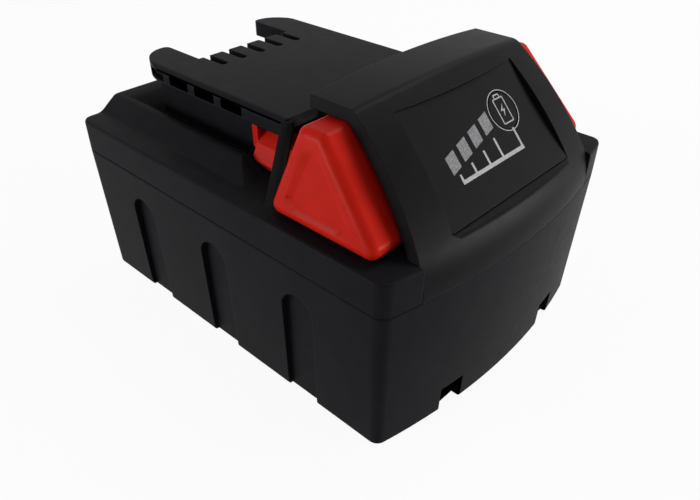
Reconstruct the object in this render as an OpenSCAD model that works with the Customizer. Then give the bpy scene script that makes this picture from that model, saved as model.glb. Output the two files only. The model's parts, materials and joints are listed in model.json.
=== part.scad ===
// Slide-on power tool battery pack: two case shells, a gauge fascia, two release buttons,
// and the cells, boards and terminals that the case holds.
// Millimetres. +Z is up, X runs across the pack, and -Y is the gauge end.
// The origin lies under the middle of the pack, on the surface that it stands on.

/* [Cells] */
// Diameter of one cell
cell_d = 18.3; // [18:0.1:18.7]
// Length of one cell
cell_len = 65; // [63:0.5:70]
// Gap between neighbouring cells
cell_gap = 0.7; // [0.6:0.1:1.1]
// Radial play of a cell in its carrier
cell_play = 0.1; // [0.05:0.05:0.15]
// Length of cell that each carrier grips
grip_len = 8; // [5:0.5:12]
// Thickness of the nickel plates on the cell ends
bus_t = 0.3; // [0.2:0.05:0.5]
// Thickness of the insulating sheets
sheet_t = 0.4; // [0.2:0.1:0.6]
// Thickness of the lead strips
lead_t = 0.4; // [0.2:0.05:0.5]

/* [Case] */
// Wall of the case shells
wall = 2.2; // [1.8:0.1:2.6]
// Floor of the lower case
floor_t = 2.3; // [1.8:0.1:3]
// Room between the insulating sheets and the side walls
side_room = 5.3; // [4.6:0.1:6]
// Room between the cells and the end walls
end_room = 5.45; // [5.4:0.05:8]
// How far the lower walls lean in from the joint to the base
draft = 0.7; // [0.4:0.1:1.4]
// Radius of the upright corners
corner_r = 3.25; // [2.5:0.25:6]
// Depth of the bow of the front face
bow_sag = 5.1; // [4:0.1:7]
// Rounding of the bottom edge
base_round = 0.8; // [0.5:0.1:2]
// How far the joint of the two shells lies below the top of the cells
seam_drop = 2.95; // [2:0.05:3.2]
// Height of the upper shell's band, from the joint to the rim
band_h = 8.25; // [8:0.25:11]
// Thickness of the deck
deck_t = 2.5; // [2:0.1:2.7]
// Width of a flute in the side walls
flute_w = 9.6; // [7:0.2:12]
// Depth of a flute
flute_depth = 1.9; // [1.2:0.1:2.4]
// Height of a flute
flute_h = 30.4; // [24:0.2:32]
// Distance between flutes
flute_pitch = 29; // [24:0.5:31]
// Width of the notches in the front bottom edge
notch_w = 7.2; // [5:0.2:9]
// Height of the notches
notch_h = 7.2; // [4:0.2:8]
// Depth of the notches
notch_deep = 2; // [1:0.1:2.6]
// Distance of the left notch from the middle
notch_left = 19; // [17.4:0.2:24]
// Distance of the right notch from the middle
notch_right = 23; // [17.4:0.2:24]

/* [Rail tower] */
// Height of the tower top over the rim
tower_h = 13.7; // [13:0.1:14.5]
// Width over the rail flanges
flange_w = 51.8; // [50:0.2:53]
// Thickness of the rail flanges
flange_t = 3.9; // [3.4:0.1:4.6]
// Depth of the rail grooves under the flanges
groove_depth = 2.7; // [2:0.1:3.2]
// Height of the running deck beside the tower, over the rim
step_h = 3.5; // [2.6:0.1:4.2]
// Distance between terminal slots
slot_pitch = 6.3; // [5.8:0.1:6.5]
// Width of a terminal slot
slot_w = 2.2; // [2:0.1:3]
// Length of a terminal slot
slot_len = 8; // [7:0.2:10]
// Length of a flange window
window_len = 7.5; // [4:0.1:8]
// Height of a flange window
window_h = 2.3; // [1.4:0.1:2.4]
// Distance between flange windows
window_pitch = 10.15; // [9.5:0.05:10.5]

/* [Gauge fascia] */
// Thickness of the fascia
fascia_t = 2.4; // [2:0.1:2.8]
// Half width of the fascia at the rim
fascia_rim_w = 31.75; // [30:0.25:33]
// Half width of the fascia at its roof
fascia_roof_w = 27.7; // [26:0.1:29]
// Depth of the fascia, from the front of the case to the rear edge of its roof
fascia_depth = 36.6; // [35:0.2:38]
// Crown of the fascia's roof, from its sides to its middle
roof_crown = 1.25; // [0.5:0.05:1.5]
// Slope of the gauge face
gauge_slope = 46.8; // [45:0.2:48]
// Length of the gauge face up its slope
gauge_len = 26.1; // [25:0.1:26.5]
// Bulge of the bezel over the flat panel
bezel_sag = 1.07; // [0.6:0.01:1.4]
// Half width of the gauge panel at its lower edge
panel_low_w = 22; // [20:0.1:23]
// Half width of the gauge panel at its upper edge
panel_top_w = 20; // [18.5:0.1:21]
// Thickness of the gauge panel
panel_t = 1.2; // [1:0.1:1.4]
// Radius of the gauge button
gauge_r = 4.2; // [3.4:0.1:4.6]
// Travel of the gauge button
gauge_travel = 0.4; // [0.2:0.05:0.5]

/* [Release buttons] */
// Travel of a release button
press = 4; // [3:0.1:4.2]
// Lean of the cap faces, sideways for each unit of height
cap_lean = 0.18; // [0.1:0.02:0.3]
// Rounding of the button caps
cap_round = 2.2; // [2:0.1:2.6]
// Wall of the button caps
cap_wall = 1.8; // [1.6:0.1:1.9]
// Depth of the finger recess in the caps
finger_depth = 1.1; // [0.5:0.1:1.2]
// Outside diameter of the return springs
spring_d = 6; // [5.4:0.1:7]
// Wire of the return springs
spring_wire = 0.7; // [0.5:0.05:0.9]

/* [Fits] */
// Gap between pieces that move past each other
run_gap = 0.3; // [0.25:0.05:0.5]
// Gap between fixed pieces that fit together
fit_gap = 0.15; // [0.1:0.05:0.25]

/* [Hidden] */
$fn = 48;
eps = 0.01;

black = [0.09, 0.09, 0.1];
red = [0.82, 0.1, 0.06];
steel = [0.72, 0.72, 0.74];
nickel = [0.78, 0.77, 0.72];
green = [0.05, 0.3, 0.14];
ivory = [0.85, 0.83, 0.76];
blue = [0.1, 0.3, 0.55];

// Cells: columns along Y, rows along Z, axes across the pack
columns = 5;
pitch = cell_d + cell_gap;
cells_y = (columns - 1) * pitch + cell_d;
cell_bed = 0.7;
low_row = floor_t + cell_bed + cell_d / 2;
row_z = [low_row, low_row + pitch];
cells_top = row_z[1] + cell_d / 2;
col_y = [for (c = [0:columns - 1]) (c - (columns - 1) / 2) * pitch];
cell_x = cell_len / 2;
bus_x = cell_x + bus_t;
sheet_x = bus_x + sheet_t;
plate_half = 7;
carrier_top = cells_top + cell_bed;
carrier_y = cells_y / 2 + cell_bed;
lead_z = carrier_top + 1;
tab_z = row_z[1] + 2;

// Case envelope
skin = draft + wall;
half_w = sheet_x + side_room + skin;
y_rear = cells_y / 2 + end_room + skin;
y_front = -y_rear;
seam_z = cells_top - seam_drop;
rim_z = seam_z + band_h;
deck_z = rim_z - deck_t;
rim_round = 0.7;
lip_in = 1.6;
lip_t = 1.2;
lip_h = 2;
bow_r = (half_w * half_w + bow_sag * bow_sag) / (2 * bow_sag);
bow_y = y_front + bow_r;
flute_mid = (y_rear + y_front + bow_sag) / 2;
notch_at = [-notch_left, notch_right];
seam_groove = 0.3;

// Screws
case_screw_x = 9;
case_screw_y = y_rear - skin - 2.9;
case_screw_r = 1.5;
case_post_r = 2.4;
well_r = 2.9;
well_h = 3.4;
post_z = seam_z - lip_h - 0.4;
fascia_screw_x = 20;
fascia_screw_r = 1.2;
fascia_boss_r = 2.2;
fascia_head_r = fascia_boss_r + 0.5;
fascia_head_h = 1.3;
fascia_screw_z = deck_z - fascia_head_r - 0.3;
backing_in = fascia_t + fit_gap;
backing_t = 1.6;
head_edge = fascia_screw_x + fascia_head_r;
fascia_screw_y = bow_y - sqrt(pow(bow_r - backing_in - backing_t, 2) - pow(head_edge, 2));

// Rail tower
tower_z = rim_z + tower_h;
plateau_z = rim_z + step_h;
trough_z = rim_z + 0.2;
flange_z = tower_z - flange_t;
flange_x = flange_w / 2;
groove_x = flange_x - groove_depth;
tower_in = groove_x - wall;
ceiling_z = tower_z - 2.4;
plate_y = y_front + 47.3;
latch_y = plate_y + 11.3;
tower_y = latch_y + run_gap;
tips_y = y_rear - 19;
tip_round = 1.2;
lobe_y = y_rear - 5.9;
lobe_round = 1.6;
slot_n = 5;
slot_x = [for (i = [0:slot_n - 1]) (i - (slot_n - 1) / 2) * slot_pitch];
slot_y = tips_y - slot_len;
lobe_x = slot_x[slot_n - 1] + slot_w / 2 + 1.4;
lobe_tip = [flange_x - lobe_x - lobe_round - 0.35, 13];
body_y = y_rear - 13.2;
ridge_x = flange_x + 2.5;
ridge_w = 0.8;
step_round = 3;
step_slope = 35;
trough_y = y_rear - 6.6;
ramp_y = body_y - 1;
window_y = tips_y - 6.6;
window_z = flange_z + 0.55;
window_round = 0.5;
window_deep = 2.4;

// Cabin: the box behind the fascia that holds the gauge and keeps the buttons apart
box_x = 15.4;
box_t = 1.6;
cabin_y = y_front + 17.5;

// Fascia profile: an upright band, a bend, the bulged bezel and the roof, each tangent to the next
bezel_r = gauge_len * gauge_len / (8 * bezel_sag) + bezel_sag / 2;
bezel_half = asin(gauge_len / 2 / bezel_r);
bend_turn = 90 - gauge_slope - bezel_half;
bend_set = 2.9;
bend_r = bend_set / (1 - cos(bend_turn));
bezel_y = y_front + bend_set;
bezel_z = rim_z + 2.3;
bend_z = bezel_z - bend_r * sin(bend_turn);
bezel_a = 180 - bend_turn;
ridge_a = bezel_a - 2 * bezel_half - 1.3;
ridge_r = 3.2;
bezel_cy = bezel_y - bezel_r * cos(bezel_a);
bezel_cz = bezel_z - bezel_r * sin(bezel_a);
ridge_cy = bezel_cy + (bezel_r - ridge_r) * cos(ridge_a);
ridge_cz = bezel_cz + (bezel_r - ridge_r) * sin(ridge_a);
head_z = ridge_cz + ridge_r;
roof_y = y_front + fascia_depth;
roof_under = head_z - fascia_t - 2 * fit_gap;

// Share of the bow that is gone at the roof
roof_straight = 0.65;
fascia_x = fascia_rim_w + 3;
fascia_steps = 14;

// Gauge: the flat panel passes through the corners of the bezel opening
panel_bow = bow(panel_low_w);
panel_half = gauge_len / 2;
panel_y = bezel_y + panel_bow + panel_half * cos(gauge_slope);
panel_z = bezel_z + panel_half * sin(gauge_slope);
seat_w = 1.6;
gauge_at = [9.5, 3.4];
light_at = [for (i = [0:3]) [-11.8 + 4.8 * i, -1.1 + 1.25 * i]];
frame_x = 16.4;
frame_y = [-7.5, 9];
frame_deep = 3.2;
board_front = -panel_t - frame_deep;
gauge_board_t = 1.2;
board_back = board_front - gauge_board_t;
button_back = -panel_t - 1.1;
plunger_r = 1.7;
plunger_len = 1.3;
plunger_low = button_back - plunger_len;
switch_h = 1.5;
gauge_screw_at = [[-13.4, 6.4], [13.8, -5.6]];
gauge_screw_r = 0.75;
socket_h = 2;
socket_y = [-6.5, -3];

// Release buttons, left side: places of the centres of the cap's rounded corners
cap_low = rim_z + run_gap + cap_round;
cap_top = head_z - fascia_t - run_gap - cap_round;
cap_h = cap_top - cap_low;
cap_side = half_w - 3 - cap_round;
cap_in = box_x + 9.2;
cap_rear = plate_y - 8.5 - cap_round;
cap_front = y_front + 12.5;
cap_rear_top = cap_rear - 5.5;
cap_front_top = cap_front + cap_h / tan(gauge_slope);
cap_side_top = cap_side - cap_lean * cap_h;
finger_low = 2.4;
finger_points = [[cap_rear - 4.6, finger_low], [cap_rear - 8.3, cap_h - 3.5], [cap_front + 7.6, finger_low]];
finger_round = 1.6;
finger_slope = 0.6;
arm_low = rim_z + run_gap + 0.2;
arm_top = rim_z + 6.3;
arm_in = box_x + run_gap + press;
arm_out = arm_in + 4.6;
latch_x = groove_x + 2.6;
latch_foot = latch_x + 1.8;
latch_top = flange_z - run_gap - 0.1;
hook_y = plate_y + 2.5;
hook_end = latch_y - 1.8;
spring_at = [plate_y - 21, rim_z + 6];
spring_len = 12.2;
spring_seat = box_x + spring_len;
spigot_r = spring_d / 2 - spring_wire - 0.4;
coils = 6;
pillar_w = 2;
pillar_foot = [half_w - 6.2, plate_y - 7.4];

// Boards and terminals
board_z = rim_z + 1.2;
board_t = 1.6;
board_top = board_z + board_t;
board_y = [plate_y - 4.9, tips_y - wall - 0.5];
board_x = box_x - box_t - 0.4;
board_wide_x = tower_in - 1.2;
board_wide_y = tower_y + wall + 0.6;
post_at = [[11, plate_y + 1.1], [tower_in - 3.4, plate_y + 23.1]];
post_r = 2.2;
board_screw_r = 0.95;
clip_w = slot_w - 0.6;
clip_t = 0.45;
clip_y = [slot_y - 0.8, tips_y - 0.8];
clip_top = ceiling_z - 0.5;

// Points on an arc in a plane
function arc(cx, cy, r, a0, a1, n) =
    [for (i = [0:n]) let (a = a0 + (a1 - a0) * i / n) [cx + r * cos(a), cy + r * sin(a)]];

// An outline and its mirror image, as one closed outline
function mirrored(points) =
    concat(points, [for (i = [len(points) - 1:-1:0]) [-points[i][0], points[i][1]]]);

// How far the bowed front face lies behind its middle at x
function bow(x) = bow_r - sqrt(bow_r * bow_r - x * x);

// Plan of the case, moved in by d: square rear, bowed front, four round corners
function case_plan(d) =
    let (w = half_w - d, r = max(corner_r - d, 0.5), br = bow_r - d)
    let (turn = asin((w - r) / (br - r)), fy = bow_y - (br - r) * cos(turn))
    let (front = arc(0, bow_y, br, 270 - turn, 270 + turn, 20))
    concat(arc(w - r, y_rear - d - r, r, 0, 90, 6),
           arc(-w + r, y_rear - d - r, r, 90, 180, 6),
           arc(-w + r, fy, r, 180, 270 - turn, 6),
           [for (i = [1:len(front) - 2]) front[i]],
           arc(w - r, fy, r, 270 + turn, 360, 6));

// Solid through rings of points; the faces of a curved skin are split into triangles
module loft(rings, curved) {
    n = len(rings[0]);
    last = len(rings) - 1;
    quads = [for (k = [0:last - 1], i = [0:n - 1])
        [k * n + i, (k + 1) * n + i, (k + 1) * n + (i + 1) % n, k * n + (i + 1) % n]];
    sides = curved ? [for (q = quads) each [[q[0], q[1], q[2]], [q[0], q[2], q[3]]]] : quads;
    base = [for (i = [0:n - 1]) i];
    top = [for (i = [n - 1:-1:0]) last * n + i];
    polyhedron([for (r = rings, p = r) p], concat(sides, [base], [top]), convexity = 8);
}

// Solid through plans of the case at rising heights, each [height, inset]
module case_loft(levels) {
    loft([for (l = levels) [for (p = case_plan(l[1])) [p[0], p[1], l[0]]]], false);
}

// Straight prism on the plan of the case
module case_prism(d, z0, z1) {
    translate([0, 0, z0]) linear_extrude(z1 - z0) polygon(case_plan(d));
}

// Box between two corners
module block(a, b) {
    translate(a) cube(b - a);
}

// Rectangle from [0, 0] to [w, h] with round corners
function round_box(w, h, r) =
    concat(arc(w - r, h - r, r, 0, 90, 4), arc(r, h - r, r, 90, 180, 4),
           arc(r, r, r, 180, 270, 4), arc(w - r, r, r, 270, 360, 4));

// Outline in Y and Z, drawn out along X
module slab(points, x0, x1) {
    translate([x0, 0, 0]) rotate([90, 0, 90]) linear_extrude(x1 - x0) polygon(points);
}

// Outline in X and Z, drawn out along Y
module beam(points, y0, y1) {
    translate([0, y1, 0]) rotate([90, 0, 0]) linear_extrude(y1 - y0) polygon(points);
}

// The children on both sides of the pack
module both_sides() {
    children();
    mirror([1, 0, 0]) children();
}

// The children in the gauge panel's frame: X across, Y up the slope, Z out of the face
module on_panel() {
    translate([0, panel_y, panel_z]) rotate([gauge_slope, 0, 0]) children();
}

// Outline of the gauge panel, grown by g
module panel_outline(g) {
    polygon([[-panel_low_w - g, -panel_half - g], [panel_low_w + g, -panel_half - g],
             [panel_top_w + g, panel_half + g], [-panel_top_w - g, panel_half + g]]);
}

// Point of the fascia's middle profile, moved to x along the bow of the case and a crown of the roof
function fascia_point(x, y, z, crown) =
    let (up = max(0, min(1, (z - bezel_z) / (head_z - fascia_t - bezel_z))))
    let (straight = roof_straight * (bow(fascia_roof_w) - bow(x)))
    [x, y + bow(x) + up * straight, z + up * crown * (1 - pow(x / fascia_roof_w, 2))];

// Body behind the fascia's outer face, moved in by t; the underside of the roof is flat
module fascia_body(t, z0) {
    crown = t < fascia_t ? roof_crown : 0;
    back = roof_y + 12;
    bend = arc(y_front + bend_r, bend_z, bend_r - t, 180, bezel_a, 6);
    bezel = arc(bezel_cy, bezel_cz, bezel_r - t, bezel_a, ridge_a, 8);
    ridge = arc(ridge_cy, ridge_cz, ridge_r - t, ridge_a, 90, 5);
    profile = concat([[back, z0], [back, head_z - t]], [for (i = [5:-1:0]) ridge[i]],
                     [for (i = [7:-1:1]) bezel[i]], [for (i = [6:-1:0]) bend[i]], [[y_front + t, z0]]);
    loft([for (i = [-fascia_steps:fascia_steps])
              [for (p = profile) fascia_point(i * fascia_x / fascia_steps, p[0], p[1], crown)]], true);
}

// Space between the two upright joints of the fascia, grown by g
module fascia_sides(g, z0) {
    low = fascia_rim_w + g;
    high = fascia_roof_w + g;
    outline = [[low, z0], [low, rim_z], [high, head_z], [high, head_z + roof_crown + 1]];
    beam(mirrored(outline), y_front - 5, roof_y);
}

// Room that the fascia takes up, with its fit gap
module fascia_room() {
    difference() {
        fascia_sides(fit_gap, seam_z - fit_gap);
        fascia_body(backing_in, seam_z - 1);
    }
}

// Pan-head screw with its head below the origin and its shank along +Z
module screw(shank_r, shank_len, head_r, head_h) {
    difference() {
        union() {
            translate([0, 0, -head_h]) cylinder(r = head_r, h = head_h);
            translate([0, 0, -eps]) cylinder(r = shank_r, h = shank_len + eps);
        }
        translate([0, 0, -head_h - eps]) cylinder(r = head_r * 0.5, h = head_h * 0.6, $fn = 6);
    }
}

// Places of the four case screws
module at_case_screws() {
    for (x = [-case_screw_x, case_screw_x], y = [-case_screw_y, case_screw_y])
        translate([x, y, 0]) children();
}

// Places of the two fascia screws, pointing out of the front
module at_fascia_screws() {
    for (x = [-fascia_screw_x, fascia_screw_x])
        translate([x, fascia_screw_y, fascia_screw_z]) rotate([90, 0, 0]) children();
}

// Places of the four board posts
module at_board_posts(z) {
    for (p = post_at, side = [-1, 1])
        translate([side * p[0], p[1], z]) children();
}

// One arched flute in the right wall
module flute(y) {
    top = flute_h - flute_w / 2;
    x0 = half_w - flute_depth;
    block([x0, y - flute_w / 2, -1], [half_w + 1, y + flute_w / 2, top]);
    translate([x0, y, top]) rotate([0, 90, 0]) cylinder(d = flute_w, h = flute_depth + 1);
}

// Ribs, screw posts and notch backs inside the lower case
module lower_fittings() {
    rib = 1.6;
    at_case_screws() {
        cylinder(r = case_post_r, h = seam_z);
        cylinder(r = well_r + 1.2, h = well_h + 1.4);
    }
    both_sides() {
        for (i = [-1.5:1:1.5])
            block([sheet_x, i * pitch - rib / 2, 0], [half_w, i * pitch + rib / 2, flute_h]);
        block([cell_x - 4, carrier_y, 0], [cell_x - 4 + rib, y_rear, flute_h]);
        block([cell_x - 4, y_front, 0], [cell_x - 4 + rib, -carrier_y, flute_h]);
    }
    notches(rib);
}

// Room of the two notches in the front bottom edge, grown by g
module notches(g) {
    for (x = notch_at)
        block([x - notch_w / 2 - g, y_front - 1, -1],
              [x + notch_w / 2 + g, y_front + bow(x) + draft + notch_deep + g, notch_h + g]);
}

module lower_case() {
    color(black) difference() {
        union() {
            difference() {
                case_loft([[0, draft + base_round], [base_round * 0.13, draft + base_round * 0.5],
                           [base_round * 0.5, draft + base_round * 0.13], [base_round, draft],
                           [seam_z - seam_groove, 0], [seam_z, seam_groove]]);
                case_prism(skin, floor_t, seam_z + 1);
            }
            intersection() {
                case_prism(skin - 0.5, floor_t - 0.5, post_z);
                lower_fittings();
            }
        }
        case_prism(lip_in - fit_gap, seam_z - lip_h - fit_gap, seam_z + 1);
        both_sides() for (i = [-1:1]) flute(flute_mid + i * flute_pitch);
        notches(0);
        at_case_screws() {
            translate([0, 0, -1]) cylinder(r = well_r, h = well_h + 1);
            cylinder(r = case_screw_r + fit_gap, h = seam_z);
        }
    }
}

// Raised deck on which the tool's rails run, with a sunk trough round the tower
module running_deck() {
    front = latch_y - 7.7;
    sunk = 0.05;
    low = rim_z - sunk;
    crest = ridge_x + ridge_w;
    straight_h = plateau_z - low - 2 * step_round * (1 - cos(step_slope));
    foot = crest + 2 * step_round * sin(step_slope) + straight_h / tan(step_slope);
    fillet = arc(foot, low + step_round, step_round, 270, 270 - step_slope, 4);
    edge = arc(crest, plateau_z - step_round, step_round, 90 - step_slope, 90, 4);
    trough = [[front - 1, trough_z], [ramp_y, trough_z], [trough_y, plateau_z], [trough_y, tower_z],
              [front - 1, tower_z]];
    front_ramp = [[front - 1, low], [front, low], [latch_y - 1, plateau_z + sunk], [latch_y - 1, tower_z],
                  [front - 1, tower_z]];
    difference() {
        intersection() {
            beam(mirrored(concat([[foot, rim_z - 1]], fillet, edge)), front, y_rear);
            case_prism(0.5, 0, tower_z);
        }
        slab(trough, -ridge_x, ridge_x);
        slab(front_ramp, -half_w, half_w);
        both_sides() block([box_x, front - 1, rim_z], [ridge_x, tower_y, tower_z]);
    }
}

// Tower with the two rail flanges, solid before its inside is cut out
module tower_solid() {
    soft = 1.6;
    plan = mirrored(concat([[lobe_x, tips_y]],
                           arc(lobe_x + lobe_round, lobe_y - lobe_round, lobe_round, 180, 90, 4),
                           [for (a = [90:-10:0]) [flange_x - lobe_tip[0] * (1 - cos(a)),
                                                  lobe_y - lobe_tip[1] * (1 - sin(a))]],
                           [[flange_x, plate_y]]));
    section = mirrored(concat([[flange_x, flange_z]], arc(flange_x - soft, tower_z - soft, soft, 0, 90, 5)));
    difference() {
        block([-groove_x, tower_y, rim_z - 1], [groove_x, body_y, flange_z + 1]);
        block([-lobe_x, tips_y, rim_z - 2], [lobe_x, body_y + 1, tower_z]);
    }
    intersection() {
        beam(section, plate_y, lobe_y);
        translate([0, 0, flange_z - 1]) linear_extrude(flange_t + 2) polygon(plan);
    }
}

// Walls of the cabin, the sloped apron up to the roof, and the pillars beside the buttons
module cabin() {
    back = tower_y + wall;
    side = [[cabin_y, deck_z], [back, deck_z], [back, ceiling_z], [plate_y, tower_z - eps],
            [roof_y + 0.6, roof_under], [roof_y - 9.4, roof_under], [cabin_y + 8, tower_z - 3]];
    apron = [[plate_y + 1, ceiling_z], [plate_y + 1, tower_z - eps], [plate_y, tower_z - eps],
             [roof_y + 0.6, roof_under], [roof_y - 2.6, roof_under], [plate_y - 3, ceiling_z]];
    lip_w = 1.6;
    lip = [[plate_y + 1, ceiling_z], [plate_y + 1, tower_z - eps], [plate_y, tower_z - eps],
           [plate_y - lip_w, tower_z - lip_w], [plate_y - lip_w, ceiling_z]];
    both_sides() {
        slab(side, box_x - box_t, box_x);
        hull() {
            translate([flange_x - pillar_w, plate_y - 1.4, ceiling_z]) cube(pillar_w);
            translate([pillar_foot[0], pillar_foot[1], rim_z - 0.4]) cube([pillar_w, pillar_w, 0.4]);
        }
        translate([box_x - eps, spring_at[0], spring_at[1]]) rotate([0, 90, 0])
            cylinder(r = spigot_r, h = 2);
    }
    slab(apron, -box_x, box_x);
    slab(lip, -flange_x + lip_w, flange_x - lip_w);
}

// Screw posts and hold-down ribs under the deck
module upper_fittings() {
    rib = 1.6;
    at_case_screws() translate([0, 0, post_z]) cylinder(r = case_post_r, h = deck_z + eps - post_z);
    at_board_posts(board_top) cylinder(r = post_r, h = ceiling_z + eps - board_top);
    for (x = [-1, 1], y = [-1, 1])
        translate([x * (cell_x - 4) - rib / 2, y * (carrier_y - rib) - rib / 2, carrier_top])
            cube([rib, rib, deck_z + eps - carrier_top]);
}

// One terminal slot, open at the rear, with a rounded mouth
module terminal_slot() {
    mouth = arc(slot_w / 2 + tip_round, tips_y - tip_round, tip_round, 180, 90, 4);
    back = arc(0, slot_y, slot_w / 2, 285, 360, 5);
    translate([0, 0, board_top + 0.8]) linear_extrude(tower_z)
        polygon(mirrored(concat(back, mouth, [[slot_w / 2 + tip_round, tips_y + 1]])));
}

// Corner that is cut off to round the top edge of the fingers between the slots
module tip_corner() {
    y = tips_y - tip_round;
    z = tower_z - tip_round;
    outside = [[y, tower_z + 1], [tips_y + 1, tower_z + 1], [tips_y + 1, z]];
    slab(concat(arc(y, z, tip_round, 0, 90, 4), outside), -lobe_x, lobe_x);
}

module upper_case() {
    band_in = lip_in + lip_t;
    color(black) difference() {
        union() {
            difference() {
                case_loft([[seam_z, seam_groove], [seam_z + seam_groove, 0], [rim_z - rim_round, 0.1],
                           [rim_z - rim_round * 0.3, 0.1 + rim_round * 0.3], [rim_z, 0.1 + rim_round]]);
                case_prism(band_in, seam_z - 1, deck_z);
                // Deck opening under the tower and the cabin
                block([-tower_in, tower_y + wall, deck_z - 1], [tower_in, tips_y - wall, rim_z + 1]);
                block([box_t - box_x, cabin_y + 4, deck_z - 1],
                      [box_x - box_t, tower_y + wall + 1, rim_z + 1]);
            }
            difference() {
                case_prism(lip_in, seam_z - lip_h, seam_z + eps);
                case_prism(band_in, seam_z - lip_h - 1, seam_z + 1);
            }
            // Wall behind the fascia
            intersection() {
                difference() {
                    case_prism(backing_in, seam_z - lip_h, deck_z + eps);
                    case_prism(backing_in + backing_t, 0, rim_z);
                }
                block([-fascia_rim_w - 3, y_front, 0], [fascia_rim_w + 3, 0, rim_z]);
            }
            difference() {
                union() {
                    running_deck();
                    tower_solid();
                }
                block([-tower_in, tower_y + wall, deck_z], [tower_in, tips_y - wall, ceiling_z]);
                block([-box_x, plate_y - 10, deck_z], [box_x, tower_y + wall + 1, ceiling_z]);
            }
            cabin();
            upper_fittings();
        }
        fascia_room();
        for (x = slot_x) translate([x, 0, 0]) terminal_slot();
        tip_corner();
        both_sides() for (i = [-1:2])
            translate([0, window_y - i * window_pitch - window_len / 2, window_z])
                slab(round_box(window_len, window_h, window_round), flange_x - window_deep, flange_x + 1);
        at_case_screws() translate([0, 0, post_z - 1])
            cylinder(r = case_screw_r + 0.05, h = deck_z - post_z);
        at_board_posts(board_top - 1) cylinder(r = board_screw_r + 0.05, h = 7);
        at_fascia_screws() translate([0, 0, -1]) cylinder(r = fascia_boss_r + fit_gap, h = backing_t + 2);
    }
}

module front_fascia() {
    color(black) difference() {
        union() {
            intersection() {
                difference() {
                    fascia_body(0, seam_z);
                    fascia_body(fascia_t, seam_z - 1);
                }
                fascia_sides(0, seam_z);
            }
            // Seat of the gauge panel
            intersection() {
                fascia_body(0.3, rim_z + fit_gap);
                on_panel() translate([0, 0, -panel_t - 1.2]) linear_extrude(1.6) panel_outline(0.8);
            }
            at_fascia_screws() cylinder(r = fascia_boss_r, h = backing_t + 1.2);
        }
        intersection() {
            beam(mirrored([[panel_low_w, bezel_z], [panel_top_w, bezel_z + gauge_len * sin(gauge_slope)]]),
                 y_front - 5, roof_y);
            on_panel() translate([0, 0, 10]) cube([60, 60, 20], center = true);
        }
        on_panel() {
            translate([0, 0, -panel_t]) linear_extrude(panel_t + eps) panel_outline(0);
            translate([0, 0, -8]) linear_extrude(8) panel_outline(-seat_w);
        }
        at_fascia_screws() translate([0, 0, -eps]) cylinder(r = fascia_screw_r + 0.05, h = backing_t + 2);
    }
}

module gauge_panel() {
    color([0.03, 0.03, 0.035]) on_panel() translate([0, 0, -panel_t]) linear_extrude(panel_t) difference() {
        panel_outline(-fit_gap);
        translate(gauge_at) circle(r = gauge_r + run_gap);
    }
}

module gauge_button() {
    flange_top = -panel_t - 0.1;
    color([0.03, 0.03, 0.035]) on_panel() translate(concat(gauge_at, [0])) {
        translate([0, 0, flange_top - eps]) cylinder(r = gauge_r, h = -flange_top + eps);
        translate([0, 0, flange_top - 0.7]) cylinder(r = gauge_r + 0.9, h = 0.7);
        translate([0, 0, button_back]) cylinder(r = plunger_r - 0.2, h = 1);
    }
}

module switch_plunger() {
    color(steel) on_panel() translate(concat(gauge_at, [plunger_low]))
        cylinder(r = plunger_r, h = plunger_len);
}

// Balls at the corners of the left cap, whose inner end lies x from the middle of the pack
module cap_corners(r, x) {
    for (across = [cap_side, x], y = [cap_rear, cap_front])
        translate([-across, y, cap_low]) sphere(r = r, $fn = 24);
    for (across = [cap_side_top, x], y = [cap_rear_top, cap_front_top])
        translate([-across, y, cap_top]) sphere(r = r, $fn = 24);
}

// Seat of the left return spring in the cap, with Z towards the middle of the pack
module at_spring() {
    translate([-spring_seat, spring_at[0], spring_at[1]]) rotate([0, 90, 0]) children();
}

// Left release button: hollow cap, arm behind the pillar and latch hook
module release_button() {
    hook = [[-arm_in, arm_low], [0.8 - latch_foot, arm_low], [-latch_foot, arm_low + 1.6],
            [-latch_x, latch_top - 3.8], [2.8 - latch_x, latch_top - 1.4], [-arm_in, latch_top - 1.4]];
    // Corner that is cut off under the rear end of the latch
    foot = [[hook_y + 2.4, arm_low - 1], [latch_y + 1, arm_low - 1], [latch_y + 1, arm_low + 4.4]];
    difference() {
        union() {
            difference() {
                hull() cap_corners(cap_round, cap_in);
                difference() {
                    hull() cap_corners(cap_round - cap_wall, box_x);
                    at_spring() translate([0, 0, -20]) cylinder(d = spring_d + 1.4, h = 20);
                }
            }
            block([-arm_out, cap_rear, arm_low], [-arm_in, hook_y + 1, arm_top]);
            beam(hook, hook_y, hook_end + eps);
            block([0.4 - latch_x, hook_end, arm_low], [-arm_in, latch_y, latch_top]);
            at_spring() translate([0, 0, -eps]) cylinder(r = spigot_r, h = 2);
        }
        finger_recess();
        slab(foot, -half_w, 0);
    }
}

// Finger recess with sloped sides, parallel to the face of the cap
module finger_recess() {
    skim = 0.1;
    translate([-cap_side, 0, cap_low]) rotate([0, atan(cap_lean), 0]) rotate([90, 0, 90]) hull() {
        translate([0, 0, -cap_round - skim]) linear_extrude(skim)
            offset(r = finger_round + finger_slope, $fn = 32) polygon(finger_points);
        translate([0, 0, finger_depth - cap_round - skim]) linear_extrude(skim)
            offset(r = finger_round, $fn = 32) polygon(finger_points);
    }
}

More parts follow.
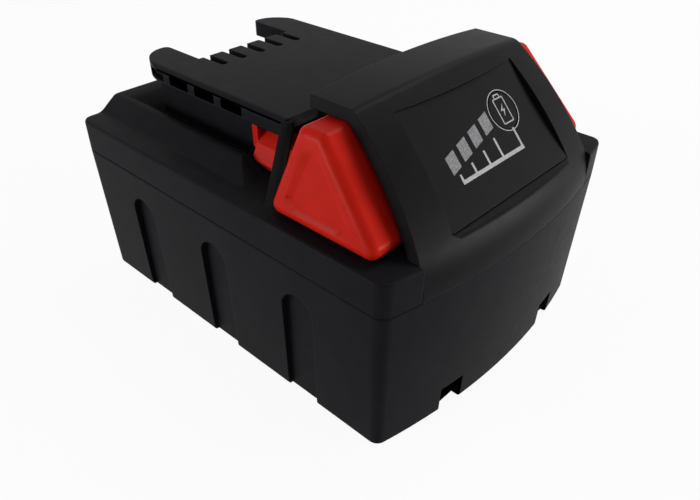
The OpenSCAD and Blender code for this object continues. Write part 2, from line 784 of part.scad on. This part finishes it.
// Left return spring: one wire wound along X, between the cap and the cabin wall
module return_spring() {
    sides = 6;
    steps = coils * 8;
    wire_r = spring_wire / 2;
    wound_r = spring_d / 2 - wire_r;
    rise = (spring_len - spring_wire) / steps;
    points = [for (i = [0:steps], j = [0:sides - 1])
        let (a = i * 45, b = j * 360 / sides, r = wound_r + wire_r * cos(b))
        [r * cos(a), r * sin(a), wire_r + i * rise + wire_r * sin(b)]];
    walls = [for (i = [0:steps - 1], j = [0:sides - 1])
        let (p = i * sides + j, q = i * sides + (j + 1) % sides)
        each [[p, p + sides, q], [q, p + sides, q + sides]]];
    first = [for (j = [0:sides - 1]) j];
    last = [for (j = [sides - 1:-1:0]) steps * sides + j];
    gaps = [for (i = [0:steps - 8], j = [0:sides - 1], k = [0:sides - 1])
        norm(points[(i + 8) * sides + k] - points[i * sides + j])];
    echo("least gap between turns of the return spring", min(gaps));
    at_spring() polyhedron(points, concat(walls, [first], [last]), convexity = 8);
}

module left_release_button() {
    color(red) release_button();
}

module right_release_button() {
    color(red) mirror([1, 0, 0]) release_button();
}

module left_button_spring() {
    color(steel) return_spring();
}

module right_button_spring() {
    color(steel) mirror([1, 0, 0]) return_spring();
}

module case_screws() {
    color(steel) at_case_screws() translate([0, 0, well_h])
        screw(case_screw_r, deck_z - 2 - well_h, well_r - 0.4, 2);
}

module fascia_screws() {
    color(steel) at_fascia_screws() screw(fascia_screw_r, backing_t + 1, fascia_head_r, fascia_head_h);
}

module board_screws() {
    color(steel) at_board_posts(board_z) screw(board_screw_r, board_t + 5, post_r - 0.3, 1.2);
}

module gauge_screws() {
    color(steel) on_panel() for (p = gauge_screw_at)
        translate(concat(p, [board_back])) screw(gauge_screw_r, gauge_board_t + 2, 1.5, 1);
}

// Left moulded carrier that grips one end of every cell
module cell_carrier() {
    difference() {
        block([-cell_x, -carrier_y, floor_t], [grip_len - cell_x, carrier_y, carrier_top]);
        for (y = col_y, z = row_z)
            translate([-cell_x - 1, y, z]) rotate([0, 90, 0])
                cylinder(d = cell_d + 2 * cell_play, h = grip_len + 2);
    }
}

module left_cell_carrier() {
    color(ivory) cell_carrier();
}

module right_cell_carrier() {
    color(ivory) mirror([1, 0, 0]) cell_carrier();
}

// Cell with a rolled groove near its positive end, which turns over from column to column
module cell(index) {
    c = floor(index / 2);
    r = cell_d / 2;
    outline = [[0, 0], [r - 0.6, 0], [r, 0.6], [r, cell_len - 5], [r - 0.5, cell_len - 4.4],
               [r - 0.5, cell_len - 3.8], [r, cell_len - 3.2], [r, cell_len - 0.6], [r - 0.6, cell_len],
               [0, cell_len]];
    color(blue) translate([0, col_y[c], row_z[index % 2]]) mirror([c % 2, 0, 0])
        translate([-cell_x, 0, 0]) rotate([0, 90, 0]) rotate_extrude() polygon(outline);
}

// Nickel plate that joins the cells of columns c0 to c1 on one side
module bus(side, c0, c1) {
    mirror([side < 0 ? 1 : 0, 0, 0])
        block([cell_x, col_y[c0] - plate_half, row_z[0] - plate_half],
              [bus_x, col_y[c1] + plate_half, row_z[1] + plate_half]);
}

module left_bus_front() {
    color(nickel) bus(-1, 0, 0);
}

module left_bus_middle() {
    color(nickel) bus(-1, 1, 2);
}

module left_bus_rear() {
    color(nickel) bus(-1, 3, 4);
}

module right_bus_front() {
    color(nickel) bus(1, 0, 1);
}

module right_bus_middle() {
    color(nickel) bus(1, 2, 3);
}

module right_bus_rear() {
    color(nickel) bus(1, 4, 4);
}

module insulator() {
    block([bus_x, 0.6 - carrier_y, floor_t + 0.6], [sheet_x, carrier_y - 0.6, tab_z - 0.5]);
}

module left_insulator() {
    color(ivory) mirror([1, 0, 0]) insulator();
}

module right_insulator() {
    color(ivory) insulator();
}

// Right-hand strip from a nickel plate, over the carrier and in to x1
module tap(y, half, x1) {
    block([bus_x, y - half, tab_z], [bus_x + lead_t, y + half, lead_z + lead_t]);
    block([x1, y - half, lead_z], [bus_x + lead_t, y + half, lead_z + lead_t]);
}

// Right-hand power lead: in from its plate, along to y1 and up to the board
module power_lead(y, y1) {
    x = [9, 12.6];
    ends = y < y1 ? [y - 3, y1] : [y1, y + 3];
    tap(y, 3, x[0]);
    block([x[0], ends[0], lead_z], [x[1], ends[1], lead_z + lead_t]);
    block([x[0], y1 - lead_t, lead_z], [x[1], y1, board_z]);
}

module negative_lead() {
    color("dimgray") mirror([1, 0, 0]) power_lead(col_y[0], board_y[0] + 3);
}

module positive_lead() {
    color("firebrick") power_lead(col_y[4], board_y[1] - 5);
}

module sense_leads() {
    x1 = board_x - 1;
    taps = [[-1, (col_y[1] + col_y[2]) / 2 + 5.5], [-1, col_y[3] + 3],
            [1, board_y[0] + 1.4], [1, col_y[2] + 10]];
    color("gold") for (t = taps) mirror([t[0] < 0 ? 1 : 0, 0, 0]) {
        tap(t[1], 1, x1);
        block([x1, t[1] - 1, lead_z], [x1 + lead_t, t[1] + 1, board_z]);
    }
}

// Bead that lies between two cells, with its flat tail up to the board
module temperature_sensor() {
    bead_r = 1.25;
    y = (col_y[2] + col_y[3]) / 2;
    z = row_z[1] + sqrt(pow(cell_d / 2 + bead_r + 0.05, 2) - pow(pitch / 2, 2));
    color("darkorange") {
        translate([-4, y, z]) rotate([0, 90, 0]) cylinder(r = bead_r, h = 8);
        block([-1.2, y - 0.25, z], [1.2, y + 0.25, board_z]);
    }
}

module main_board() {
    plan = mirrored([[board_x, board_y[0]], [board_x, board_wide_y], [board_wide_x, board_wide_y],
                     [board_wide_x, board_y[1]]]);
    color(green) difference() {
        translate([0, 0, board_z]) linear_extrude(board_t) polygon(plan);
        at_board_posts(board_z - 1) cylinder(r = board_screw_r + fit_gap, h = board_t + 2);
    }
}

// The children on top of the main board
module on_board(x, y) {
    translate([x, y, board_top]) children();
}

// Box of a component, centred over the origin
module chip(size) {
    translate([-size[0] / 2, -size[1] / 2, 0]) cube(size);
}

// A controller, two gate drivers beside it and a memory chip in front
module board_chips() {
    controller = [8, 8, 1.2];
    driver = [4, 5, 1.4];
    memory = [6, 4, 1.6];
    driver_x = 9;
    mid_y = tower_y + 5;
    color([0.06, 0.06, 0.06]) {
        on_board(0, mid_y) chip(controller);
        for (x = [-driver_x, driver_x]) on_board(x, mid_y + 3) chip(driver);
        on_board(0, mid_y - 9) chip(memory);
    }
}

module power_transistors() {
    body = [6.4, 6, 2.3];
    row_y = tower_y + 16;
    color([0.12, 0.12, 0.13]) for (i = [-1:1])
        on_board(i * (body[0] + 1.6), row_y) chip(body);
}

module main_socket() {
    color(ivory) block([-5, board_y[0] + 0.5, board_top], [5, board_y[0] + 4.5, board_top + 2.4]);
}

// Insulating block that keeps the terminal clips upright
module terminal_block() {
    gap = fit_gap;
    color([0.16, 0.16, 0.17]) difference() {
        block([1.2 - board_wide_x, slot_y - 3.4, board_top],
              [board_wide_x - 1.2, board_y[1], board_top + 2.6]);
        for (x = slot_x)
            block([x - clip_w / 2 - gap, clip_y[0] - gap, board_top - 1],
                  [x + clip_w / 2 + gap, tips_y, board_top + 3]);
    }
}

// Female terminal: two upright leaves joined by a web, standing on the board
module terminal(i) {
    color(nickel) translate([slot_x[i], 0, 0]) {
        for (x = [-clip_w / 2, clip_w / 2 - clip_t])
            block([x, clip_y[0], board_top], [x + clip_t, board_y[1], clip_top]);
        for (x = [-clip_w / 2, clip_w / 2 - clip_t])
            block([x, clip_y[0], board_top + 1.2], [x + clip_t, clip_y[1], clip_top]);
        block([-clip_w / 2, clip_y[0], board_top], [clip_w / 2, clip_y[0] + clip_t, clip_top - 1.5]);
    }
}

// Spacer behind the panel, with a well for each light and one for the button
module light_frame() {
    color([0.2, 0.2, 0.21]) on_panel() difference() {
        block([-frame_x, frame_y[0], board_front], [frame_x, frame_y[1], -panel_t]);
        for (p = light_at) translate(concat(p, [0])) cube([3.6, 4.4, 20], center = true);
        translate(concat(gauge_at, [-10])) cylinder(r = gauge_r + 0.9 + run_gap, h = 20);
        for (p = gauge_screw_at)
            translate(concat(p, [board_front - 1])) cylinder(r = gauge_screw_r + 0.05, h = 3.4);
    }
}

module gauge_board() {
    color(green) on_panel() difference() {
        block([-frame_x, frame_y[0], board_back], [frame_x, frame_y[1], board_front]);
        for (p = gauge_screw_at)
            translate(concat(p, [board_back - 1])) cylinder(r = gauge_screw_r + fit_gap, h = 4);
    }
}

module gauge_lights() {
    color("ivory") on_panel() for (p = light_at)
        translate(concat(p, [board_front + 0.4])) cube([2, 1.6, 0.8], center = true);
}

module gauge_switch() {
    half = 3;
    color([0.1, 0.1, 0.1]) on_panel() translate(concat(gauge_at, [board_front])) difference() {
        block([-half, -half, 0], [half, half, switch_h]);
        translate([0, 0, plunger_low - gauge_travel - fit_gap - board_front])
            cylinder(r = plunger_r + run_gap / 2, h = switch_h);
    }
}

module gauge_socket() {
    color(ivory) on_panel() block([-5, socket_y[0], board_back - socket_h], [5, socket_y[1], board_back]);
}

// Flat cable from the gauge board to the main board
module gauge_cable() {
    half_t = 0.2;
    mid = (socket_y[0] + socket_y[1]) / 2;
    back = board_back - socket_h - 2 * fit_gap;
    start = [panel_y + mid * cos(gauge_slope) - back * sin(gauge_slope),
             panel_z + mid * sin(gauge_slope) + back * cos(gauge_slope)];
    finish = [board_y[0] + 0.5, board_top + 1.2];
    path = [start, start + [3, -1.5], [start[0] + 9, board_top - 1.2], [finish[0] - 6, board_top + 0.4],
            finish];
    color("slategray") slab(concat([for (p = path) p + [0, half_t]],
                                   [for (i = [len(path) - 1:-1:0]) path[i] - [0, half_t]]), -4.5, 4.5);
}

lower_case();
upper_case();
front_fascia();
gauge_panel();
gauge_button();
switch_plunger();
left_release_button();
right_release_button();
left_button_spring();
right_button_spring();
case_screws();
fascia_screws();
board_screws();
gauge_screws();
left_cell_carrier();
right_cell_carrier();
cell(0);  // cell_1
cell(1);  // cell_2
cell(2);  // cell_3
cell(3);  // cell_4
cell(4);  // cell_5
cell(5);  // cell_6
cell(6);  // cell_7
cell(7);  // cell_8
cell(8);  // cell_9
cell(9);  // cell_10
left_bus_front();
left_bus_middle();
left_bus_rear();
right_bus_front();
right_bus_middle();
right_bus_rear();
left_insulator();
right_insulator();
negative_lead();
positive_lead();
sense_leads();
temperature_sensor();
main_board();
board_chips();
power_transistors();
main_socket();
terminal_block();
terminal(0);  // terminal_1
terminal(1);  // terminal_2
terminal(2);  // terminal_3
terminal(3);  // terminal_4
terminal(4);  // terminal_5
light_frame();
gauge_board();
gauge_lights();
gauge_switch();
gauge_socket();
gauge_cable();
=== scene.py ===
import json
import math

import bmesh
import bpy
from mathutils import Matrix, Vector


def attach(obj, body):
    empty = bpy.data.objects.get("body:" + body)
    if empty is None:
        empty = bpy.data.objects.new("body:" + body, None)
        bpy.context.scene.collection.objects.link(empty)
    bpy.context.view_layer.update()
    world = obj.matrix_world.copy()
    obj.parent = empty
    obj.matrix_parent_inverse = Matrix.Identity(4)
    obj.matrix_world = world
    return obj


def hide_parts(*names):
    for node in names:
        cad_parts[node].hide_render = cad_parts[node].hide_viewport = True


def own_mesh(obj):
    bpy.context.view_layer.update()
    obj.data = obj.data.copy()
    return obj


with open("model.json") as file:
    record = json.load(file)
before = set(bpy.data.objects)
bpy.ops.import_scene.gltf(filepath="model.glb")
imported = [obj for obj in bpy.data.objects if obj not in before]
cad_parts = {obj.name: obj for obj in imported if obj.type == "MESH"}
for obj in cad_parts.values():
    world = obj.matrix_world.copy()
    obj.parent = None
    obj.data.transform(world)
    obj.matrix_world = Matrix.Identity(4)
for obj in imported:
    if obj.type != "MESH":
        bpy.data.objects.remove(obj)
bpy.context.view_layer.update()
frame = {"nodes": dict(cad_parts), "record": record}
NODES = frame["nodes"]
BODY_OF = {n: b for b, members in frame["record"]["behaviour"]["bodies"].items() for n in members}
SLOT_OF = {s["node"]: s["material_slot"] for s in frame["record"]["subparts"]}
scene = bpy.context.scene
scene.view_settings.view_transform = "Standard"
MM = 0.001


# Camera, from the fit to the case edges; the image is 700 x 500
IMAGE_W, IMAGE_H = 700.0, 500.0
SENSOR = 36.0
FOCAL_PX = 668.727
CENTRE_PX = (340.010, 294.692)
CAMERA_AT = Vector((-0.11412, -0.10983, 0.11940))
RIGHT = Vector((0.691313, -0.722550, -0.004941)).normalized()
BACK = Vector((-0.561418, -0.541424, 0.625879)).normalized()
UP = BACK.cross(RIGHT).normalized()
CLIP_NEAR, CLIP_FAR = 0.005, 20
cam_data = bpy.data.cameras.new("camera")
cam = bpy.data.objects.new("camera", cam_data)
scene.collection.objects.link(cam)
turn = Matrix((UP.cross(BACK), UP, BACK)).transposed().to_4x4()
cam.matrix_world = Matrix.Translation(CAMERA_AT) @ turn
cam_data.sensor_width = SENSOR
cam_data.lens = SENSOR * FOCAL_PX / IMAGE_W
cam_data.shift_x = (IMAGE_W / 2 - CENTRE_PX[0]) / IMAGE_W
cam_data.shift_y = (CENTRE_PX[1] - IMAGE_H / 2) / IMAGE_W
cam_data.clip_start = CLIP_NEAR
cam_data.clip_end = CLIP_FAR
scene.camera = cam


# Materials
def node_material(name):
    mat = bpy.data.materials.new(name)
    mat.use_nodes = True
    nodes, links = mat.node_tree.nodes, mat.node_tree.links
    shader = nodes["Principled BSDF"]
    coords = nodes.new("ShaderNodeTexCoord")
    return mat, nodes, links, shader, coords.outputs["Object"]


def noise(nodes, links, vector, scale, detail=2.0):
    n = nodes.new("ShaderNodeTexNoise")
    n.inputs["Scale"].default_value = scale
    n.inputs["Detail"].default_value = detail
    links.new(vector, n.inputs["Vector"])
    return n.outputs["Fac"]


def ramp(nodes, links, value, low, high):
    r = nodes.new("ShaderNodeMapRange")
    r.inputs["To Min"].default_value = low
    r.inputs["To Max"].default_value = high
    links.new(value, r.inputs["Value"])
    return r.outputs["Result"]


def two_colours(nodes, links, value, a, b, lo=0.35, hi=0.65):
    r = nodes.new("ShaderNodeValToRGB")
    r.color_ramp.elements[0].position = lo
    r.color_ramp.elements[0].color = (*a, 1)
    r.color_ramp.elements[1].position = hi
    r.color_ramp.elements[1].color = (*b, 1)
    links.new(value, r.inputs["Fac"])
    return r.outputs["Color"]


BEVEL_SAMPLES = 6


def bump(nodes, links, shader, height, strength, distance, edge=0.0):
    """Fine relief; with an edge radius, sharp edges also shade as small rounds."""
    b = nodes.new("ShaderNodeBump")
    b.inputs["Strength"].default_value = strength
    b.inputs["Distance"].default_value = distance
    links.new(height, b.inputs["Height"])
    if edge:
        rounded = nodes.new("ShaderNodeBevel")
        rounded.samples = BEVEL_SAMPLES
        rounded.inputs["Radius"].default_value = edge
        links.new(rounded.outputs["Normal"], b.inputs["Normal"])
    links.new(b.outputs["Normal"], shader.inputs["Normal"])


GLOSS_MOTTLE = 2.3
GRAIN_DETAIL = 1.0
GRAIN_STRENGTH = 1.0


def moulded(name, a, b, rough, grain, depth, specular=0.5, mottle=180, edge=0.0):
    """Moulded plastic: slow colour drift, drifting gloss and a fine spark-eroded grain."""
    mat, nodes, links, shader, at = node_material(name)
    drift = noise(nodes, links, at, mottle)
    links.new(two_colours(nodes, links, drift, a, b), shader.inputs["Base Color"])
    gloss = noise(nodes, links, at, mottle * GLOSS_MOTTLE)
    links.new(ramp(nodes, links, gloss, *rough), shader.inputs["Roughness"])
    shader.inputs["Specular IOR Level"].default_value = specular
    bump(nodes, links, shader, noise(nodes, links, at, grain, GRAIN_DETAIL), GRAIN_STRENGTH, depth, edge)
    return mat


DRAW_SCALE, DRAW_DETAIL = 900, 3.0
DRAW_STRENGTH, DRAW_DEPTH = 0.6, 0.00001
ALONG_X, ALONG_Y, ALONG_Z = (0.2, 1, 1), (1, 0.2, 1), (1, 1, 0.2)


def metal(name, a, b, rough, stretch):
    """Drawn metal, with the drawing marks along one axis."""
    mat, nodes, links, shader, at = node_material(name)
    squeeze = nodes.new("ShaderNodeMapping")
    squeeze.inputs["Scale"].default_value = stretch
    links.new(at, squeeze.inputs["Vector"])
    marks = noise(nodes, links, squeeze.outputs["Vector"], DRAW_SCALE, DRAW_DETAIL)
    links.new(two_colours(nodes, links, marks, a, b), shader.inputs["Base Color"])
    links.new(ramp(nodes, links, marks, *rough), shader.inputs["Roughness"])
    shader.inputs["Metallic"].default_value = 1.0
    bump(nodes, links, shader, marks, DRAW_STRENGTH, DRAW_DEPTH)
    return mat


CASE_EDGE, PANEL_EDGE, BUTTON_EDGE = 0.35 * MM, 0.12 * MM, 0.2 * MM
PRINT_MOTTLE = 2600
black_plastic = moulded("case_black", (0.0078, 0.0080, 0.0092), (0.0092, 0.0094, 0.0106),
                        rough=(0.40, 0.5), grain=5200, depth=0.000006, specular=0.022, edge=CASE_EDGE)
fascia_plastic = moulded("fascia_black", (0.0070, 0.0070, 0.0074), (0.0082, 0.0082, 0.0086),
                         rough=(0.36, 0.45), grain=5200, depth=0.000005, specular=0.03, edge=CASE_EDGE)
panel_plastic = moulded("panel_black", (0.006, 0.006, 0.0068), (0.007, 0.007, 0.0078),
                        rough=(0.26, 0.34), grain=6500, depth=0.000004, specular=0.06, edge=PANEL_EDGE)
red_plastic = moulded("button_red", (0.44, 0.010, 0.004), (0.48, 0.012, 0.005),
                      rough=(0.34, 0.42), grain=4200, depth=0.000004, specular=0.06, edge=BUTTON_EDGE)
print_grey = moulded("print_grey", (0.13, 0.13, 0.135), (0.24, 0.24, 0.245),
                     rough=(0.45, 0.6), grain=5200, depth=0.000004, specular=0.2, mottle=PRINT_MOTTLE)
# Painted shade: a near-black matt plastic with no shine, put on the notch and flange-window faces to stand in for
# the shade in those hollows
painted_shade_plastic = moulded("painted_shade_black", (0.0006, 0.0006, 0.0007), (0.0009, 0.0009, 0.001),
                         rough=(0.7, 0.85), grain=5200, depth=0.000006, specular=0.0)
print_pale = moulded("print_pale", (0.30, 0.30, 0.305), (0.42, 0.42, 0.425),
                     rough=(0.45, 0.6), grain=5200, depth=0.000004, specular=0.2, mottle=PRINT_MOTTLE)
MATERIALS = {
    "case_plastic": black_plastic,
    "panel_plastic": panel_plastic,
    "button_plastic": red_plastic,
    "spring_steel": metal("spring_steel", (0.5, 0.5, 0.52), (0.62, 0.62, 0.64),
                          rough=(0.22, 0.38), stretch=ALONG_X),
    "screw_steel": metal("screw_steel", (0.3, 0.3, 0.31), (0.42, 0.42, 0.43),
                         rough=(0.3, 0.48), stretch=ALONG_Z),
    "carrier_plastic": moulded("carrier_ivory", (0.62, 0.58, 0.48), (0.7, 0.66, 0.56),
                               rough=(0.45, 0.6), grain=3000, depth=0.000008),
    "cell_wrap": moulded("cell_blue", (0.02, 0.09, 0.25), (0.03, 0.12, 0.3),
                         rough=(0.25, 0.36), grain=2500, depth=0.000004),
    "nickel": metal("nickel", (0.55, 0.53, 0.48), (0.66, 0.64, 0.58),
                    rough=(0.25, 0.42), stretch=ALONG_Y),
    "insulation": moulded("insulating_paper", (0.6, 0.56, 0.44), (0.7, 0.66, 0.54),
                          rough=(0.65, 0.8), grain=2600, depth=0.00001),
    "lead_metal": metal("lead_metal", (0.6, 0.42, 0.18), (0.7, 0.5, 0.24),
                        rough=(0.28, 0.44), stretch=ALONG_Y),
    "sensor_resin": moulded("sensor_resin", (0.5, 0.18, 0.02), (0.6, 0.24, 0.03),
                            rough=(0.3, 0.5), grain=2600, depth=0.000006),
    "circuit_board": moulded("circuit_board", (0.01, 0.08, 0.03), (0.016, 0.12, 0.045),
                             rough=(0.35, 0.5), grain=1400, depth=0.000006),
    "dark_component": moulded("dark_component", (0.006, 0.006, 0.0065), (0.01, 0.01, 0.0105),
                              rough=(0.5, 0.65), grain=4000, depth=0.000008, specular=0.15),
    "light_resin": moulded("light_resin", (0.7, 0.7, 0.6), (0.8, 0.8, 0.7),
                           rough=(0.15, 0.3), grain=2600, depth=0.000004),
    "cable_plastic": moulded("cable_grey", (0.25, 0.26, 0.28), (0.32, 0.33, 0.35),
                             rough=(0.4, 0.55), grain=2600, depth=0.000006),
}
for name, obj in NODES.items():
    obj.data.materials.clear()
    obj.data.materials.append(MATERIALS[SLOT_OF[name]])


# Pieces that stand for CAD nodes; the angles, in degrees, are where smooth shading stops
PIECE_ANGLE, CASE_ANGLE, CAP_ANGLE, COIL_ANGLE = 32, 26, 34, 50
WELD = 0.002 * MM
FLAT_ANGLE = 0.4
NORMAL_WEIGHT = 50


def place(obj, body, slot, *nodes):
    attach(obj, body)
    if nodes:
        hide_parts(*nodes)
    return obj


def new_piece(name, bm, mat, angle=PIECE_ANGLE):
    mesh = bpy.data.meshes.new(name)
    bm.to_mesh(mesh)
    bm.free()
    mesh.materials.append(mat)
    mesh.shade_smooth()
    mesh.set_sharp_from_angle(angle=math.radians(angle))
    obj = bpy.data.objects.new(name, mesh)
    scene.collection.objects.link(obj)
    return obj


def smoothed(node, name, mat, angle=CASE_ANGLE):
    """The node's shape with its flat faces joined up, and its facets shaded as the rounds they stand for."""
    bm = bmesh.new()
    bm.from_mesh(NODES[node].data)
    bmesh.ops.remove_doubles(bm, verts=bm.verts, dist=WELD)
    bmesh.ops.dissolve_limit(bm, angle_limit=math.radians(FLAT_ANGLE), verts=bm.verts, edges=bm.edges)
    bmesh.ops.recalc_face_normals(bm, faces=bm.faces)
    obj = new_piece(name, bm, mat, angle)
    mod = obj.modifiers.new("normals", "WEIGHTED_NORMAL")
    mod.mode = "FACE_AREA"
    mod.keep_sharp = True
    mod.weight = NORMAL_WEIGHT
    return place(obj, BODY_OF[node], SLOT_OF[node], node)


def paint_shade(obj, low, high):
    """Painted shade: dark matt plastic on the faces whose middles lie in a box, in millimetres and on both sides
    of the pack, standing in for the shade deep in a hollow.
    """
    if painted_shade_plastic.name not in obj.data.materials:
        obj.data.materials.append(painted_shade_plastic)
    for face in obj.data.polygons:
        at = (abs(face.center.x) / MM, face.center.y / MM, face.center.z / MM)
        if all(low[i] < at[i] < high[i] for i in range(3)):
            face.material_index = 1


# Painted shade: the notch walls at the foot of the lower shell and the flange-window walls of the upper shell get
# the dark matt plastic
NOTCH_SHADE_LOW, NOTCH_SHADE_HIGH = (15.0, -54.2, 0.1), (27.0, -48.0, 7.4)
WINDOW_SHADE_LOW, WINDOW_SHADE_HIGH = (23.2, -6.0, 55.7), (25.85, 36.0, 58.5)
lower_shell = smoothed("lower_case", "lower_shell", black_plastic)
paint_shade(lower_shell, NOTCH_SHADE_LOW, NOTCH_SHADE_HIGH)
upper_shell = smoothed("upper_case", "upper_shell", black_plastic)
paint_shade(upper_shell, WINDOW_SHADE_LOW, WINDOW_SHADE_HIGH)
smoothed("front_fascia", "gauge_surround", fascia_plastic)
smoothed("left_release_button", "left_button_cap", red_plastic, CAP_ANGLE)
smoothed("right_release_button", "right_button_cap", red_plastic, CAP_ANGLE)
smoothed("gauge_panel", "gauge_face", panel_plastic)

# Return springs: each is smoothed from its node and given a mesh of its own
for side in ("left", "right"):
    node = side + "_button_spring"
    coil = smoothed(node, side + "_return_coil", MATERIALS["spring_steel"], COIL_ANGLE)
    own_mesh(coil)


# Printed gauge: charge bars, a scale under them and a ring round the button on the panel, a sign on the button
panel_points = [NODES["gauge_panel"].matrix_world @ v.co for v in NODES["gauge_panel"].data.vertices]
GAUGE_SLOPE = math.radians(46.8)
ACROSS = Vector((1, 0, 0))
RISE = Vector((0, math.cos(GAUGE_SLOPE), math.sin(GAUGE_SLOPE)))
OUT = ACROSS.cross(RISE)
rises = [p.dot(RISE) for p in panel_points]
panel_mid = RISE * ((min(rises) + max(rises)) / 2) + OUT * max(p.dot(OUT) for p in panel_points)
PRINT_H = 0.03 * MM


def printed(name, outlines, mat, body):
    """Thin ink shapes on the gauge face, from outlines in millimetres: across and up the slope."""
    bm = bmesh.new()
    for outline in outlines:
        low = [bm.verts.new(panel_mid + (ACROSS * u + RISE * v) * MM) for u, v in outline]
        face = bm.faces.new(low)
        top = bmesh.ops.extrude_face_region(bm, geom=[face])["geom"]
        bmesh.ops.translate(bm, vec=OUT * PRINT_H, verts=[g for g in top if isinstance(g, bmesh.types.BMVert)])
    bmesh.ops.recalc_face_normals(bm, faces=bm.faces)
    place(new_piece(name, bm, mat), body, "panel_plastic")


def stroke(points, width):
    """Outline of a straight stroke between two points."""
    a, b = Vector(points[0]), Vector(points[1])
    side = (b - a).normalized().orthogonal() * (width / 2)
    return [tuple(a + side), tuple(b + side), tuple(b - side), tuple(a - side)]


def arc_band(centre, inner, outer, start, end, steps):
    """Quads of a band round a centre."""
    quads = []
    for i in range(steps):
        a, b = (math.radians(start + (end - start) * k / steps) for k in (i, i + 1))
        quads.append([(centre[0] + r * math.cos(t), centre[1] + r * math.sin(t))
                      for r, t in ((inner, a), (outer, a), (outer, b), (inner, b))])
    return quads


BAR_COUNT = 4
BAR_LEFT, BAR_PITCH, BAR_W, BAR_H = -13.75, 4.78, 3.2, 3.85
BAR_LOW, BAR_RISE = -3.4, 0.26
bars = []
for i in range(BAR_COUNT):
    u = BAR_LEFT + BAR_PITCH * i
    v = BAR_LOW + BAR_RISE * BAR_PITCH * i
    lift = BAR_RISE * BAR_W
    bars.append([(u, v), (u + BAR_W, v + lift), (u + BAR_W, v + lift + BAR_H), (u, v + BAR_H)])
printed("charge_bars", bars, print_grey, "case")

BASE_V, BASE_H = -5.55, 0.85
BASE_ENDS = (-12.4, 10.0)
TICK_W = 0.6
TICKS = [(-12.05, -3.85), (-7.4, -2.9), (-2.5, -2.0), (2.25, -0.8), (9.6, -0.85)]
scale_lines = [stroke(((BASE_ENDS[0], BASE_V), (BASE_ENDS[1], BASE_V)), BASE_H)]
scale_lines += [stroke(((u, BASE_V + BASE_H / 2), (u, v)), TICK_W) for u, v in TICKS]
printed("charge_scale", scale_lines, print_pale, "case")

RING_AT = (9.5, 3.4)
RING = (4.58, 4.78)
RING_STEPS = 64
printed("button_ring", arc_band(RING_AT, *RING, 0, 360, RING_STEPS), print_pale, "case")
CELL_LOW, CELL_HIGH = (7.8, 0.55), (11.2, 6.25)
NUB_W, NUB_H = 1.8, 0.85
SIGN_LINE = 0.28
mid_u = (CELL_LOW[0] + CELL_HIGH[0]) / 2
shell = [CELL_LOW, (CELL_HIGH[0], CELL_LOW[1]), CELL_HIGH, (CELL_LOW[0], CELL_HIGH[1])]
nub = [(mid_u - NUB_W / 2, CELL_HIGH[1]), (mid_u - NUB_W / 2, CELL_HIGH[1] + NUB_H),
       (mid_u + NUB_W / 2, CELL_HIGH[1] + NUB_H), (mid_u + NUB_W / 2, CELL_HIGH[1])]
sign = [stroke((shell[i], shell[(i + 1) % 4]), SIGN_LINE) for i in range(4)]
sign += [stroke((nub[i], nub[i + 1]), SIGN_LINE) for i in range(3)]
BOLT = [(0.75, 1.5), (-0.85, -0.05), (0.05, 0.0), (-0.35, -1.5), (0.75, 0.25), (-0.05, 0.2)]
sign.append([(mid_u + u, RING_AT[1] + v) for u, v in BOLT])
printed("button_sign", sign, print_pale, "gauge_key")


# Floor, backdrop and light
def seen_directly(nodes, links):
    """1 for rays from the camera and for the reflections and clear views that continue them."""
    path = nodes.new("ShaderNodeLightPath")
    total = path.outputs["Is Camera Ray"]
    for kind in ("Is Glossy Ray", "Is Transmission Ray"):
        either = nodes.new("ShaderNodeMath")
        either.operation = "MAXIMUM"
        links.new(total, either.inputs[0])
        links.new(path.outputs[kind], either.inputs[1])
        total = either.outputs[0]
    return total


FLOOR_WHITE = 0.93
FLOOR_COLOUR = (0.9, 0.9, 0.9, 1)
FLOOR_ROUGH = 0.9
FLOOR_HALF = 3
FLOOR_DROP = 0.2 * MM
PURE_WHITE = (1, 1, 1, 1)
floor_mat, f_nodes, f_links, f_shader, _ = node_material("floor_white")
f_shader.inputs["Base Color"].default_value = FLOOR_COLOUR
f_shader.inputs["Roughness"].default_value = FLOOR_ROUGH
white = f_nodes.new("ShaderNodeEmission")
white.inputs["Color"].default_value = PURE_WHITE
mix = f_nodes.new("ShaderNodeMixShader")
f_links.new(ramp(f_nodes, f_links, seen_directly(f_nodes, f_links), 0.0, FLOOR_WHITE), mix.inputs["Fac"])
f_links.new(f_shader.outputs["BSDF"], mix.inputs[1])
f_links.new(white.outputs["Emission"], mix.inputs[2])
f_links.new(mix.outputs["Shader"], f_nodes["Material Output"].inputs["Surface"])
bm = bmesh.new()
bmesh.ops.create_grid(bm, x_segments=1, y_segments=1, size=FLOOR_HALF)
floor = new_piece("floor", bm, floor_mat)
floor.location.z = -FLOOR_DROP

AMBIENT = 0.25
world = bpy.data.worlds.new("studio")
scene.world = world
world.use_nodes = True
w_nodes, w_links = world.node_tree.nodes, world.node_tree.links
ground = w_nodes["Background"]
ground.inputs["Color"].default_value = PURE_WHITE
w_links.new(ramp(w_nodes, w_links, seen_directly(w_nodes, w_links), AMBIENT, 1.0), ground.inputs["Strength"])


def softbox(name, at, aim, size, power):
    data = bpy.data.lights.new(name, "AREA")
    data.shape = "RECTANGLE"
    data.size, data.size_y = size
    data.energy = power
    obj = bpy.data.objects.new(name, data)
    obj.location = at
    obj.rotation_euler = (Vector(aim) - Vector(at)).to_track_quat("-Z", "Y").to_euler()
    scene.collection.objects.link(obj)


softbox("top_light", at=(0.5, -0.05, 0.8), aim=(0, 0, 0.04), size=(0.4, 0.4), power=3.0)
softbox("left_light", at=(-0.85, 0.4, 0.2), aim=(0, 0, 0.03), size=(0.5, 0.35), power=5.2)
softbox("front_light", at=(0.6, -0.8, 0.1), aim=(0, 0, 0.03), size=(0.5, 0.35), power=11.0)
